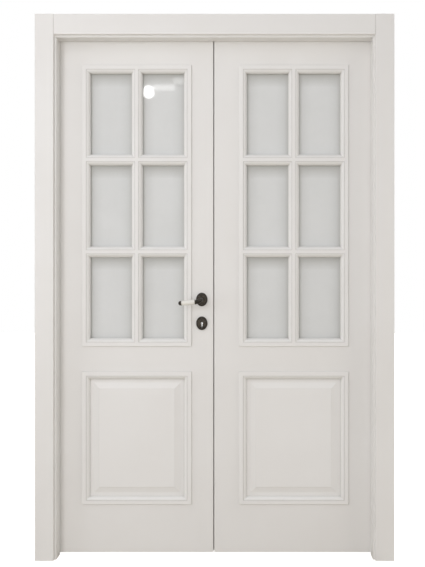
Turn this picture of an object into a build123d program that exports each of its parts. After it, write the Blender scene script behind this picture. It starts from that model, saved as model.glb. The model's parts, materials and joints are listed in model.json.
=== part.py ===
from build123d import *
from math import cos, radians, sin
import os

# A panelled and glazed double door with its frame and casings, in millimetres.
# X runs to the right seen from the front, Y to the back, Z up. The origin is on the floor, in the
# middle of the door set and of the leaves' thickness. The leaves open to the back (+Y).

# Leaves: two rebated leaves, the left one active, with 12 mm lips where they meet
leaf_thick = 40.0
leaf_height = 2000.0
leaf_width = 620.0             # over the lips, the same for both leaves
floor_gap = 8.0
meeting_gap = 4.0
lip_width = 12.0
lip_gap = 1.5                  # between the two lips, front to back
edge_round = 1.5
hinge_margin = 97.5            # hinge edge to the mouldings
lock_margin = 84.5             # mouldings to the front meeting edge, left leaf
meeting_margin = 96.5          # the same, right leaf
top_margin = 103.0             # top of the leaf to the glazing moulding
middle_margin = 98.5           # between the two moulding rings
panel_height = 516.5           # outer height of the panel moulding
bottom_margin = 187.0          # panel moulding to the bottom of the leaf

# Bolection mouldings and glazing bars
mould_rise = 6.0               # how far they stand proud of the leaf
ring_flat = 16.0
bar_flat = 13.5
slope_run = 14.0               # quirk, ovolo and foot together
slope_drop = 11.0
quirk_wide = 1.2
quirk_deep = 2.0
ovolo_dip = 1.0                # the ovolo starts this far below the flat
ovolo_bulge = 2.0
foot_wide = 1.5
mould_lap = 14.0               # how far a moulding covers its stile or rail
bar_core = 4.0                 # half width of the core between two panes
pane_columns = 2
pane_rows = 3

# Glass and raised panels
glass_thick = 4.0
glass_edge_gap = 3.0
bar_edge_gap = 1.0
panel_edge_gap = 2.0
panel_edge_thick = 25.0
panel_thick = 39.0
panel_margin = 14.0            # flat margin seen round the bevel
bevel_run = 22.0
field_step = 1.0

# Stile and rail joints
tenon_thick = 12.0
tenon_long = 40.0
tenon_inset = 12.0

# Frame
side_gap = 3.0                 # leaf edge to jamb
stop_lap = 11.0                # how far the leaf lies behind the stop
stop_gap = 2.0
jamb_wall = 26.0               # jamb behind the rebate
reveal_depth = 51.0            # stop shoulder to the front edge of the jamb
jamb_round = 1.5
fixing_count = 4
fixing_low = 100.0             # floor to the lowest fixing
fixing_high = 137.0            # top of the frame to the highest
fixing_hole = 6.5
fixing_sink = 13.0
fixing_y = 4.0

# Casings
casing_thick = 12.0
casing_leg_width = 72.0
casing_head_width = 78.0
casing_margin = 8.0            # front jamb edge left in view
back_margin = 7.0
casing_round = 2.5
tongue_wide = 6.0
tongue_deep = 8.0
tongue_inset = 13.0            # casing edge to its tongue
fit = 0.2                      # clearance of a glued or loose wood fit

# Seal in the stop's shoulder
kerf_wide = 3.0
kerf_deep = 8.0
bulb_wide = 7.0
bulb_inset = 2.0               # edge of the stop to the bulb
seal_clear = 0.3

# Butt hinges, three on each leaf
hinge_tall = 100.0
hinge_end = 200.0              # end of the leaf to the hinge's middle
hinge_plate = 2.5
hinge_plate_deep = 28.0
knuckle_radius = 6.0
knuckle_out = 6.0              # pin behind the leaf's back face
knuckle_count = 5
knuckle_gap = 0.2
pin_radius = 3.0
pin_clear = 0.05
pin_cap_radius = 4.5
pin_cap_tall = 3.0
plate_clear = 0.2

# Lock, roses and keyholes
backset = 56.5                 # faceplate to spindle
spindle_height = 992.5
keyhole_drop = 92.5
spindle_square = 8.0
spindle_half = 58.0
follower_radius = 9.0
turn_clear = 0.1
case_thick = 14.0
case_deep = 76.0
case_below = 130.0             # spindle to the lower end of the case
case_above = 50.0
case_fit = 0.3
faceplate_thick = 3.0
faceplate_wide = 16.0
faceplate_over = 22.0          # faceplate past each end of the case
faceplate_flat = 0.5           # left straight between its two end rounds, on each side
lock_y = 10.3                  # middle of the lip's thickness
latch_rise = 30.0              # spindle to latch
latch_wide = 10.0
latch_tall = 20.0
latch_long = 32.0
latch_throw = 10.0
latch_nose = 2.0               # left flat at the thin end of the bevel
latch_shoulder = 1.0           # straight in front of the faceplate
bolt_drop = 46.0               # spindle to dead bolt
bolt_wide = 9.0
bolt_tall = 26.0
bolt_long = 36.0
bolt_throw = 14.0
bolt_clear = 0.3
bolt_chamfer = 0.8
strike_clear = 1.0             # strike's holes round the latch and the bolt
strike_tall = 150.0
pocket_deep = 18.0
rose_wide = 44.0
rose_tall = 53.0
rose_thick = 7.0
rose_round = 3.5
wood_hole = 20.0
keyhole_radius = 4.5
keyhole_slot = 6.0
keyhole_long = 15.0
keyhole_wood = 1.0

# Lever handles: neck, porcelain grip and tip, turned on the arm's axis
lever_out = 56.0               # leaf face to the grip's axis
shank_radius = 8.0
shank_in = 2.0
collar_radius = 10.5
collar_thick = 3.0
elbow_radius = 9.0
second_radius = 20.0
neck_reach = 13.0
neck_drop = 6.5
neck_end = 7.5
droop = 4.6
ferrule_long = 3.0
ferrule_radius = 9.2
grip_long = 51.0
grip_end_radius = 8.2
grip_radius = 10.0
tang_radius = 3.0
tip_long = 12.0
tip_radius = 8.2
tip_collar = 3.0

# Flush bolts in the meeting edge of the right leaf
rod_radius = 4.0
rod_inset = 9.0                # faceplate's face to the rod's axis
rod_long = 150.0
rod_set_back = 2.0             # end of the leaf to the end of the rod
rod_throw = 14.0
rod_clear = 0.2
rod_chamfer = 1.0
keep_clear = 1.0               # hole in the keep round the rod
slot_clear = 1.0               # wood cut away round the thumb piece
bolt_plate_tall = 190.0
thumb_tall = 14.0
thumb_wide = 6.0
thumb_proud = 1.0
thumb_from_end = 120.0
keep_thick = 2.5
keep_wide = 24.0
keep_long = 50.0
keep_hole_radius = 6.0
keep_hole_deep = 18.0

# Places worked out from the sizes above
leaf_front = -leaf_thick / 2
leaf_back = leaf_thick / 2
leaf_bottom = floor_gap
leaf_top = floor_gap + leaf_height
meet_x = -lip_width / 2                            # middle of the gap seen from the front
left_edge = meet_x - meeting_gap / 2               # front meeting edges of the two leaves
right_edge = meet_x + meeting_gap / 2
lip_x = right_edge + lip_width
lip_edge = lip_x - meeting_gap                     # edge of the left leaf's back lip
hinge_edge = leaf_width - lip_edge
rebate_x = hinge_edge + side_gap
stop_x = hinge_edge - stop_lap
jamb_outer = rebate_x + jamb_wall
stop_y = leaf_front - stop_gap
jamb_front = stop_y - reveal_depth
jamb_back = leaf_back
head_stop = leaf_top - stop_lap
head_rebate = leaf_top + side_gap
head_top = head_rebate + jamb_wall
head_end = stop_x + casing_margin + tongue_inset - fit    # head jamb let into the legs
fixing_pitch = (head_top - fixing_low - fixing_high) / (fixing_count - 1)
ring_wide = ring_flat + slope_run
bar_half = bar_flat / 2 + slope_run
glazing_top = leaf_top - top_margin
panel_bottom = leaf_bottom + bottom_margin
panel_top = panel_bottom + panel_height
glazing_bottom = panel_top + middle_margin
hinge_heights = (leaf_bottom + hinge_end, (leaf_bottom + leaf_top) / 2, leaf_top - hinge_end)
pivot_x = hinge_edge + side_gap / 2
pivot_y = leaf_back + knuckle_out
spindle_x = lip_edge - backset
keyhole_height = spindle_height - keyhole_drop
latch_height = spindle_height + latch_rise
bolt_height = spindle_height - bolt_drop
case_low = spindle_height - case_below
case_high = spindle_height + case_above
case_x = lip_edge - faceplate_thick
lever_y = leaf_front - lever_out
rod_x = lip_x + rod_inset


# Small helpers for shapes given by their limits or their section

def block(x_low, x_high, y_low, y_high, z_low, z_high):
    size = (x_high - x_low, y_high - y_low, z_high - z_low)
    middle = ((x_low + x_high) / 2, (y_low + y_high) / 2, (z_low + z_high) / 2)
    return Pos(*middle) * Box(*size)


def outline(points, rounds=()):
    face = Sketch() + make_face(Polyline(*points, close=True))
    for corner, radius in rounds:
        vertex = face.vertices().sort_by_distance((*corner, 0))[0]
        face = fillet(vertex, radius)
    return face


def upright(section, z_low, z_high):
    return extrude(Pos(0, 0, z_low) * section, z_high - z_low)


def crosswise(section, x_low, x_high):
    return extrude(Plane.YZ.offset(x_low) * section, x_high - x_low)


def across(section, half):
    # a leg's section, turned up to run along the head and as far to the left as to the right
    head_plane = Plane(origin=(0, 0, 0), x_dir=(0, 0, 1), z_dir=(-1, 0, 0))
    return extrude(head_plane * section, half, both=True)


def rod(radius, start, end):
    axis = Vector(*end) - Vector(*start)
    return extrude(Plane(origin=start, z_dir=axis) * Circle(radius), axis.length)


def left_of(shape):
    return mirror(shape, about=Plane.YZ)


def back_of(shape):
    return mirror(shape, about=Plane.XZ)


def group(shapes):
    solids = []
    for shape in shapes:
        solids += list(shape.solids())
    return Compound(children=solids)


# Frame: rebated jamb legs with the head jamb let in between them

def seal_section(edge, low_gap):
    # x is measured from the stop's edge into the jamb, y is the depth
    start = edge + bulb_inset
    middle = start + bulb_wide / 2
    tip = leaf_front - seal_clear
    half = kerf_wide / 2 - low_gap
    bottom = stop_y - kerf_deep + low_gap
    points = [(middle - half, bottom), (middle + half, bottom), (middle + half, stop_y),
              (start + bulb_wide, stop_y), (start + bulb_wide, tip), (start, tip),
              (start, stop_y), (middle - half, stop_y)]
    return outline(points)


def kerf_section(edge):
    middle = edge + bulb_inset + bulb_wide / 2
    half = kerf_wide / 2
    return outline([(middle - half, stop_y - kerf_deep), (middle + half, stop_y - kerf_deep),
                    (middle + half, stop_y), (middle - half, stop_y)])


def groove(casing_edge, face, outward):
    # section of the groove for a casing's tongue, across the jamb's edge
    low = casing_edge + tongue_inset - fit
    high = casing_edge + tongue_inset + tongue_wide + fit
    floor = face - outward * (tongue_deep + fit)
    return outline([(low, floor), (high, floor), (high, face), (low, face)])


def make_jamb_head():
    section = outline([(jamb_front, head_stop), (jamb_front, head_top), (jamb_back, head_top),
                       (jamb_back, head_rebate), (stop_y, head_rebate), (stop_y, head_stop)],
                      [((jamb_front, head_stop), jamb_round), ((stop_y, head_stop), jamb_round)])
    head = crosswise(section, -head_end, head_end)
    for cut in (kerf_section(head_stop), groove(head_stop + casing_margin, jamb_front, -1),
                groove(head_rebate + back_margin, jamb_back, 1)):
        head -= across(cut, head_end)
    head -= block(rod_x - keep_long / 2, rod_x + keep_long / 2, lock_y - keep_wide / 2,
                  jamb_back, head_rebate, head_rebate + keep_thick)
    head -= rod(keep_hole_radius, (rod_x, lock_y, head_rebate),
                (rod_x, lock_y, head_rebate + keep_hole_deep))
    return head


def make_jamb_leg():
    section = outline([(stop_x, jamb_front), (jamb_outer, jamb_front), (jamb_outer, jamb_back),
                       (rebate_x, jamb_back), (rebate_x, stop_y), (stop_x, stop_y)],
                      [((stop_x, jamb_front), jamb_round), ((stop_x, stop_y), jamb_round)])
    leg = upright(section, 0, head_top)
    leg -= block(0, head_end, jamb_front, jamb_back, head_stop, head_top)
    for cut in (kerf_section(stop_x), groove(stop_x + casing_margin, jamb_front, -1),
                groove(rebate_x + back_margin, jamb_back, 1)):
        leg -= upright(cut, 0, head_top)
    leg -= across(groove(head_rebate + back_margin, jamb_back, 1), rebate_x + back_margin + fit)
    for height in hinge_heights:
        leg -= block(rebate_x, rebate_x + hinge_plate, jamb_back - hinge_plate_deep, jamb_back,
                     height - hinge_tall / 2, height + hinge_tall / 2)
    sink = (fixing_sink - fixing_hole) / 2
    for step in range(fixing_count):
        height = fixing_low + step * fixing_pitch
        leg -= rod(fixing_hole / 2, (rebate_x, fixing_y, height), (jamb_outer, fixing_y, height))
        cone = Plane(origin=(rebate_x + sink / 2, fixing_y, height), z_dir=(-1, 0, 0))
        leg -= cone * Cone(fixing_hole / 2, fixing_sink / 2, sink)
    return leg


def make_frame_seal(jamb_head):
    head = across(seal_section(head_stop, fit), stop_x + bulb_inset + bulb_wide)
    leg = upright(seal_section(stop_x, fit), 0, head_stop + bulb_inset) - jamb_head
    return group([leg, left_of(leg), head])


# Casings: the legs run full height and the head sits between them

def casing_section(inner, width, face, outward):
    # inner edge, width across, the jamb's edge it lies on, and 1 to the back or -1 to the front
    front = face + outward * casing_thick
    root = face - outward * tongue_deep
    low = inner + tongue_inset
    high = low + tongue_wide
    points = [(inner, face), (inner, front), (inner + width, front), (inner + width, face),
              (high, face), (high, root), (low, root), (low, face)]
    rounds = [((inner, front), casing_round), ((inner + width, front), casing_round)]
    return outline(points, rounds)


def make_casing(margin_x, margin_z, face, outward):
    inner = margin_x
    top = margin_z + casing_head_width
    leg = upright(casing_section(inner, casing_leg_width, face, outward), 0, top)
    leg -= block(inner, jamb_outer, min(face, face - outward * tongue_deep),
                 max(face, face - outward * tongue_deep), head_top, top)
    head = across(casing_section(margin_z, casing_head_width, face, outward), inner)
    return left_of(leg), leg, head


# Mouldings: one section for the rings, and the same slopes on both sides of a glazing bar

def slope_edges(edge, side):
    # quirk, ovolo and foot, from the flat's edge outwards to one side
    top = mould_rise
    low = top - slope_drop
    quirk = edge + side * quirk_wide
    start = Vector(quirk, top - ovolo_dip)
    stop = Vector(edge + side * (slope_run - foot_wide), low)
    run = stop - start
    normal = Vector(-run.Y, run.X).normalized() * side
    middle = (start + stop) * 0.5 + normal * ovolo_bulge
    return [Line((edge, top), (edge, top - quirk_deep)),
            Line((edge, top - quirk_deep), (quirk, top - quirk_deep)),
            Line((quirk, top - quirk_deep), start),
            ThreePointArc(start, middle, stop),
            Line(stop, (edge + side * slope_run, low))]


def ring_section(base):
    # across from the outer edge, and up from the leaf's face
    low = mould_rise - slope_drop
    edges = [Line((0, 0), (0, mould_rise - edge_round)),
             Line((0, mould_rise - edge_round), (edge_round, mould_rise)),
             Line((edge_round, mould_rise), (ring_flat, mould_rise))]
    edges += slope_edges(ring_flat, 1)
    edges += [Line((ring_wide, low), (ring_wide, base)), Line((ring_wide, base), (mould_lap, base)),
              Line((mould_lap, base), (mould_lap, 0)), Line((mould_lap, 0), (0, 0))]
    return make_face(edges)


def make_ring(x_low, x_high, z_low, z_high, base):
    section = ring_section(base)
    corners = [(x_low, z_low), (x_high, z_low), (x_high, z_high), (x_low, z_high)]
    ways = [Vector(1, 0, 0), Vector(0, 0, 1), Vector(-1, 0, 0), Vector(0, 0, -1)]
    lengths = []
    for side in range(4):
        along = ways[side]
        inward = ways[(side + 1) % 4]
        start = Vector(corners[side][0], leaf_front, corners[side][1])
        x_end, z_end = corners[(side + 1) % 4]
        end = Vector(x_end, leaf_front, z_end)
        blank = extrude(Plane(origin=start, x_dir=inward, z_dir=along) * section,
                        (end - start).length)
        blank = split(blank, bisect_by=Plane(origin=start, z_dir=along - inward), keep=Keep.TOP)
        blank = split(blank, bisect_by=Plane(origin=end, z_dir=-along - inward), keep=Keep.TOP)
        lengths.append(blank)
    return lengths


def bar_section():
    low = mould_rise - slope_drop
    glass = -(leaf_thick - glass_thick) / 2
    middle = -leaf_thick / 2
    half = bar_flat / 2
    edges = [Line((-half, mould_rise), (half, mould_rise))]
    edges += slope_edges(half, 1) + slope_edges(-half, -1)
    edges += [Line((bar_half, low), (bar_half, glass)), Line((bar_half, glass), (bar_core, glass)),
              Line((bar_core, glass), (bar_core, middle)),
              Line((bar_core, middle), (-bar_core, middle)),
              Line((-bar_core, middle), (-bar_core, glass)),
              Line((-bar_core, glass), (-bar_half, glass)),
              Line((-bar_half, glass), (-bar_half, low))]
    return make_face(edges)


def bar_centres(low, high, count):
    # middles of the bars that share a span between two ring edges into equal panes
    clear = (high - low - 2 * ring_wide - (count - 1) * 2 * bar_half) / count
    first = low + ring_wide + clear + bar_half
    return [first + step * (clear + 2 * bar_half) for step in range(count - 1)]


def make_bars(x_low, x_high, z_low, z_high, ring):
    section = bar_section()
    reach = ring_flat
    scribed = []                   # each bar with the number of lengths that it is in
    for middle in bar_centres(x_low, x_high, pane_columns):
        plane = Plane(origin=(middle, leaf_front, z_low + reach), x_dir=(-1, 0, 0),
                      z_dir=(0, 0, 1))
        scribed.append((extrude(plane * section, z_high - z_low - 2 * reach), 1))
    uprights = [bar for bar, pieces in scribed]
    for height in bar_centres(z_low, z_high, pane_rows):
        plane = Plane(origin=(x_low + reach, leaf_front, height), x_dir=(0, 0, 1), z_dir=(1, 0, 0))
        cross_bar = extrude(plane * section, x_high - x_low - 2 * reach)
        for upright_bar in uprights:
            cross_bar -= upright_bar
        scribed.append((cross_bar, pane_columns))
    # scribed to the ring, each bar leaves crumbs in the quirk that a joiner would clear away
    bars = []
    for bar, pieces in scribed:
        for length in ring:
            bar -= length
        bars += bar.solids().sort_by(SortBy.VOLUME)[-pieces:]
    return bars


def make_panes(x_low, x_high, z_low, z_high):
    edge = mould_lap + glass_edge_gap
    core = bar_core + bar_edge_gap
    columns = [x_low + edge]
    for middle in bar_centres(x_low, x_high, pane_columns):
        columns += [middle - core, middle + core]
    columns.append(x_high - edge)
    rows = [z_low + edge]
    for middle in bar_centres(z_low, z_high, pane_rows):
        rows += [middle - core, middle + core]
    rows.append(z_high - edge)
    half = glass_thick / 2
    panes = []
    for column in range(0, len(columns), 2):
        for row in range(0, len(rows), 2):
            panes.append(block(columns[column], columns[column + 1], -half, half,
                               rows[row], rows[row + 1]))
    return panes


def make_raised_panel(x_low, x_high, z_low, z_high):
    edge = mould_lap + panel_edge_gap
    half = panel_edge_thick / 2
    panel = block(x_low + edge, x_high - edge, -half, half, z_low + edge, z_high - edge)
    foot = ring_wide + panel_margin
    top = foot + bevel_run
    middle = ((x_low + x_high) / 2, (z_low + z_high) / 2)
    wide, tall = x_high - x_low, z_high - z_low
    for side in (-1, 1):
        faces = []
        for inset, out in ((foot, half), (top, panel_thick / 2 - field_step)):
            plane = Plane(origin=(middle[0], side * out, middle[1]), x_dir=(1, 0, 0),
                          z_dir=(0, side, 0))
            faces.append(plane * Rectangle(wide - 2 * inset, tall - 2 * inset))
        panel += loft(faces)
        panel += extrude(faces[1], field_step)
    return panel


# One leaf: stiles, rails, panel, mouldings, bars and panes. The lock side's section differs.

def lock_stile_section(inner):
    # active leaf, on the left: its back lip passes behind the other leaf's front lip
    step = lip_gap / 2
    return outline([(inner, leaf_front), (left_edge, leaf_front), (left_edge, step),
                    (lip_edge, step), (lip_edge, leaf_back), (inner, leaf_back)],
                   [((left_edge, leaf_front), edge_round), ((lip_edge, leaf_back), edge_round)])


def meeting_stile_section(inner):
    step = -lip_gap / 2
    return outline([(inner, leaf_front), (right_edge, leaf_front), (right_edge, step),
                    (lip_x, step), (lip_x, leaf_back), (inner, leaf_back)],
                   [((right_edge, leaf_front), edge_round), ((lip_x, leaf_back), edge_round)])


def hinge_stile_section(inner):
    return outline([(inner, leaf_front), (hinge_edge, leaf_front), (hinge_edge, leaf_back),
                    (inner, leaf_back)],
                   [((hinge_edge, leaf_front), edge_round), ((hinge_edge, leaf_back), edge_round)])


def make_rail(x_low, x_high, z_low, z_high):
    rail = block(x_low, x_high, leaf_front, leaf_back, z_low, z_high)
    rail += block(x_low - tenon_long, x_high + tenon_long, -tenon_thick / 2, tenon_thick / 2,
                  z_low + tenon_inset, z_high - tenon_inset)
    return rail


def make_leaf(prefix, x_low, x_high, stile_sections):
    # x_low and x_high are the mouldings' outer edges, stile_sections the left and right stiles
    inner_low, inner_high = x_low + mould_lap, x_high - mould_lap
    rails = {
        "top_rail": make_rail(inner_low, inner_high, glazing_top - mould_lap, leaf_top),
        "middle_rail": make_rail(inner_low, inner_high, panel_top - mould_lap,
                                 glazing_bottom + mould_lap),
        "bottom_rail": make_rail(inner_low, inner_high, leaf_bottom, panel_bottom + mould_lap),
    }
    parts = {}
    for name, section in stile_sections.items():
        stile = upright(section, leaf_bottom, leaf_top)
        for rail in rails.values():
            stile -= rail
        parts[name] = stile
    parts.update(rails)
    glazing = make_ring(x_low, x_high, glazing_bottom, glazing_top,
                        -(leaf_thick - glass_thick) / 2)
    bars = make_bars(x_low, x_high, glazing_bottom, glazing_top, glazing)
    panel_ring = make_ring(x_low, x_high, panel_bottom, panel_top,
                           -(leaf_thick - panel_edge_thick) / 2)
    parts["glazing_moulding_front"] = group(glazing)
    parts["glazing_moulding_back"] = group([back_of(piece) for piece in glazing])
    parts["glazing_bars_front"] = group(bars)
    parts["glazing_bars_back"] = group([back_of(piece) for piece in bars])
    parts["panel_moulding_front"] = group(panel_ring)
    parts["panel_moulding_back"] = group([back_of(piece) for piece in panel_ring])
    parts["panel"] = make_raised_panel(x_low, x_high, panel_bottom, panel_top)
    parts["glass"] = group(make_panes(x_low, x_high, glazing_bottom, glazing_top))
    return {prefix + "_" + name: shape for name, shape in parts.items()}


# Hinges: two plates with interlocking knuckles on one pin

def knuckles(first):
    # odd or even knuckles of one hinge, about the pin's axis at the origin
    tall = hinge_tall / knuckle_count
    pieces = []
    for step in range(first, knuckle_count, 2):
        low = -hinge_tall / 2 + step * tall + knuckle_gap / 2
        pieces.append((low, low + tall - knuckle_gap))
    return pieces


def make_hinge_plates(plate_low, plate_high, first, bore):
    plates = []
    for height in hinge_heights:
        plate = block(plate_low, plate_high, leaf_back - hinge_plate_deep,
                      leaf_back - plate_clear, height - hinge_tall / 2, height + hinge_tall / 2)
        for low, high in knuckles(first):
            plate += rod(knuckle_radius, (pivot_x, pivot_y, height + low),
                         (pivot_x, pivot_y, height + high))
            plate += block(plate_low, plate_high, leaf_back - plate_clear, pivot_y - pin_radius,
                           height + low, height + high)
        plate -= rod(bore, (pivot_x, pivot_y, height - hinge_tall),
                     (pivot_x, pivot_y, height + hinge_tall))
        plates.append(plate)
    return plates


def make_hinge_pins():
    pins = []
    for height in hinge_heights:
        low, high = height - hinge_tall / 2, height + hinge_tall / 2
        pin = rod(pin_radius, (pivot_x, pivot_y, low), (pivot_x, pivot_y, high))
        for end, way in ((low + knuckle_gap / 2, -1), (high - knuckle_gap / 2, 1)):
            cap = rod(pin_cap_radius, (pivot_x, pivot_y, end),
                      (pivot_x, pivot_y, end + way * pin_cap_tall))
            rim = cap.faces().sort_by(Axis.Z)[-1 if way > 0 else 0].edges()
            pin += fillet(rim, pin_cap_tall / 2)
        pins.append(pin)
    return pins


# Lock: case and faceplate in the left leaf, strike in the right leaf

def keyhole(grow, y_low, y_high):
    hole = rod(keyhole_radius + grow, (spindle_x, y_low, keyhole_height),
               (spindle_x, y_high, keyhole_height))
    half = keyhole_slot / 2 + grow
    return hole + block(spindle_x - half, spindle_x + half, y_low, y_high,
                        keyhole_height - keyhole_long - grow, keyhole_height)


def latch_box(clear, x_low, x_high):
    return block(x_low, x_high, lock_y - latch_wide / 2 - clear, lock_y + latch_wide / 2 + clear,
                 latch_height - latch_tall / 2 - clear, latch_height + latch_tall / 2 + clear)


def bolt_box(clear, x_low, x_high):
    return block(x_low, x_high, lock_y - bolt_wide / 2 - clear, lock_y + bolt_wide / 2 + clear,
                 bolt_height - bolt_tall / 2 - clear, bolt_height + bolt_tall / 2 + clear)


def case_block(clear):
    return block(case_x - case_deep - clear, case_x, lock_y - case_thick / 2 - clear,
                 lock_y + case_thick / 2 + clear, case_low - clear, case_high + clear)


def faceplate_blank(x_low, x_high, z_low, z_high):
    plate = block(x_low, x_high, lock_y - faceplate_wide / 2, lock_y + faceplate_wide / 2,
                  z_low, z_high)
    return fillet(plate.edges().filter_by(Axis.X), faceplate_wide / 2 - faceplate_flat)


def lock_plate_blank():
    return faceplate_blank(case_x, lip_edge, case_low - faceplate_over, case_high + faceplate_over)


def strike_blank():
    middle = (latch_height + bolt_height) / 2
    return faceplate_blank(lip_x, lip_x + faceplate_thick, middle - strike_tall / 2,
                           middle + strike_tall / 2)


def make_lock_case():
    case = case_block(0)
    case -= rod(follower_radius + turn_clear, (spindle_x, 0, spindle_height),
                (spindle_x, leaf_back, spindle_height))
    case -= keyhole(0, 0, leaf_back)
    case -= latch_box(bolt_clear, case_x - latch_long - latch_throw, case_x)
    case -= bolt_box(bolt_clear, case_x - bolt_long - bolt_clear, case_x)
    return case


def make_faceplate():
    plate = lock_plate_blank()
    plate -= latch_box(bolt_clear, case_x, lip_edge)
    plate -= bolt_box(bolt_clear, case_x, lip_edge)
    return plate


def make_latch():
    # the bevel faces the front, where the closing leaf meets the strike
    end = lip_edge + latch_throw
    latch = latch_box(0, case_x - latch_long + bolt_clear, end)
    wedge = outline([(end, lock_y - latch_wide / 2), (end, lock_y + latch_wide / 2 - latch_nose),
                     (end - latch_throw + latch_shoulder, lock_y - latch_wide / 2)])
    return latch - upright(wedge, latch_height - latch_tall, latch_height + latch_tall)


def make_dead_bolt():
    bolt = bolt_box(0, case_x - bolt_long, lip_edge)
    return chamfer(bolt.faces().sort_by(Axis.X)[-1].edges(), bolt_chamfer)


def make_strike():
    plate = strike_blank()
    for pocket in strike_pockets():
        plate -= pocket
    return plate


def strike_pockets():
    end = lip_x + pocket_deep
    return [latch_box(strike_clear, lip_x, end), bolt_box(strike_clear, lip_x, end)]


def oval_plate(height):
    plane = Plane(origin=(spindle_x, leaf_front, height), x_dir=(1, 0, 0), z_dir=(0, -1, 0))
    plate = extrude(plane * Ellipse(rose_wide / 2, rose_tall / 2), rose_thick)
    rim = plate.faces().sort_by(Axis.Y)[0].edges()
    return fillet(rim, rose_round)


def make_rose():
    return oval_plate(spindle_height) - rod(shank_radius + turn_clear,
                                            (spindle_x, 0, spindle_height),
                                            (spindle_x, lever_y, spindle_height))


def make_keyhole_plate():
    return oval_plate(keyhole_height) - keyhole(0, leaf_front - rose_thick, leaf_front)


# Levers: one square spindle carries a follower and a handle on each side

def arm_plane():
    direction = Vector(-cos(radians(droop)), 0, -sin(radians(droop)))
    corner = Vector(spindle_x - neck_reach, lever_y, spindle_height - neck_drop)
    return Plane(origin=corner + direction * neck_end, x_dir=direction, z_dir=(0, -1, 0))


def turned(points):
    # a solid of revolution about the arm's axis, from (along, radius) points
    return arm_plane() * revolve(make_face(Polyline(*points, close=True)), Axis.X)


def make_neck():
    arm = arm_plane()
    path = FilletPolyline([(spindle_x, leaf_front + shank_in, spindle_height),
                           (spindle_x, lever_y, spindle_height),
                           (spindle_x - neck_reach, lever_y, spindle_height - neck_drop),
                           tuple(arm.origin)], radius=[elbow_radius, second_radius])
    start = Plane(origin=path @ 0, z_dir=path % 0)
    neck = sweep(start * Circle(shank_radius), path=path)
    face = leaf_front - rose_thick - fit
    neck += rod(collar_radius, (spindle_x, face, spindle_height),
                (spindle_x, face - collar_thick, spindle_height))
    neck += turned([(0, 0), (0, ferrule_radius), (ferrule_long, ferrule_radius),
                    (ferrule_long, 0)])
    neck += turned([(0, 0), (0, tang_radius), (ferrule_long + grip_long + tip_long / 2, tang_radius),
                    (ferrule_long + grip_long + tip_long / 2, 0)])
    return neck - spindle_bar(0)


def spindle_bar(grow):
    half = spindle_square / 2 + grow
    return block(spindle_x - half, spindle_x + half, -spindle_half, spindle_half,
                 spindle_height - half, spindle_height + half)


def make_grip():
    low, high = ferrule_long, ferrule_long + grip_long
    edges = [Line((low, tang_radius), (low, grip_end_radius)),
             ThreePointArc((low, grip_end_radius), ((low + high) / 2, grip_radius),
                           (high, grip_end_radius)),
             Line((high, grip_end_radius), (high, tang_radius)),
             Line((high, tang_radius), (low, tang_radius))]
    return arm_plane() * revolve(make_face(edges), Axis.X)


def make_tip():
    low = ferrule_long + grip_long
    high = low + tip_long
    middle = low + tip_long / 2
    edges = [Line((low, tang_radius), (low, ferrule_radius)),
             Line((low, ferrule_radius), (low + tip_collar, ferrule_radius)),
             Line((low + tip_collar, ferrule_radius), (high - tip_radius, tip_radius)),
             CenterArc((high - tip_radius, 0), tip_radius, 90, -90),
             Line((high, 0), (middle, 0)), Line((middle, 0), (middle, tang_radius)),
             Line((middle, tang_radius), (low, tang_radius))]
    return arm_plane() * revolve(make_face(edges), Axis.X)


def make_follower():
    hub = rod(follower_radius, (spindle_x, lock_y - case_thick / 2, spindle_height),
              (spindle_x, lock_y + case_thick / 2, spindle_height))
    return hub - spindle_bar(0)


# Flush bolts: a rod with a thumb piece behind a slotted plate, at the top and the bottom

def bolt_end(way):
    return leaf_top - rod_set_back if way > 0 else leaf_bottom + rod_set_back


def make_flush_bolt(way):
    end = bolt_end(way)
    bolt = rod(rod_radius, (rod_x, lock_y, end - way * rod_long), (rod_x, lock_y, end))
    bolt = chamfer(bolt.faces().sort_by(Axis.Z)[-1 if way > 0 else 0].edges(), rod_chamfer)
    thumb = end - way * thumb_from_end
    return bolt + block(lip_x - thumb_proud, rod_x, lock_y - thumb_wide / 2,
                        lock_y + thumb_wide / 2, thumb - thumb_tall / 2, thumb + thumb_tall / 2)


def thumb_slot(way, x_low, x_high, clear):
    # as long as the thumb piece's travel
    thumb = bolt_end(way) - way * thumb_from_end
    low = min(thumb, thumb + way * rod_throw) - thumb_tall / 2 - clear
    high = max(thumb, thumb + way * rod_throw) + thumb_tall / 2 + clear
    half = thumb_wide / 2 + clear
    return block(x_low, x_high, lock_y - half, lock_y + half, low, high)


def bolt_plate_blank(way):
    end = leaf_top if way > 0 else leaf_bottom
    low, high = sorted((end, end - way * bolt_plate_tall))
    return block(lip_x, lip_x + faceplate_thick, lock_y - faceplate_wide / 2,
                 lock_y + faceplate_wide / 2, low, high)


def make_bolt_plate(way):
    return bolt_plate_blank(way) - thumb_slot(way, lip_x, lip_x + faceplate_thick, bolt_clear)


def bolt_bore(way):
    end = leaf_top if way > 0 else leaf_bottom
    start = bolt_end(way) - way * (rod_long + rod_clear)
    bore = rod(rod_radius + rod_clear, (rod_x, lock_y, start), (rod_x, lock_y, end))
    return bore + thumb_slot(way, lip_x, rod_x, slot_clear)


def make_head_keep():
    plate = block(rod_x - keep_long / 2, rod_x + keep_long / 2, lock_y - keep_wide / 2, jamb_back,
                  head_rebate, head_rebate + keep_thick)
    return plate - rod(rod_radius + keep_clear, (rod_x, lock_y, head_rebate),
                       (rod_x, lock_y, head_rebate + keep_thick))


# The two leaves take their hardware: recesses, mortises and bores

def cut_lock(stile):
    stile -= case_block(case_fit)
    stile -= lock_plate_blank()
    stile -= rod(wood_hole / 2, (spindle_x, leaf_front, spindle_height),
                 (spindle_x, leaf_back, spindle_height))
    return stile - keyhole(keyhole_wood, leaf_front, leaf_back)


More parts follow.
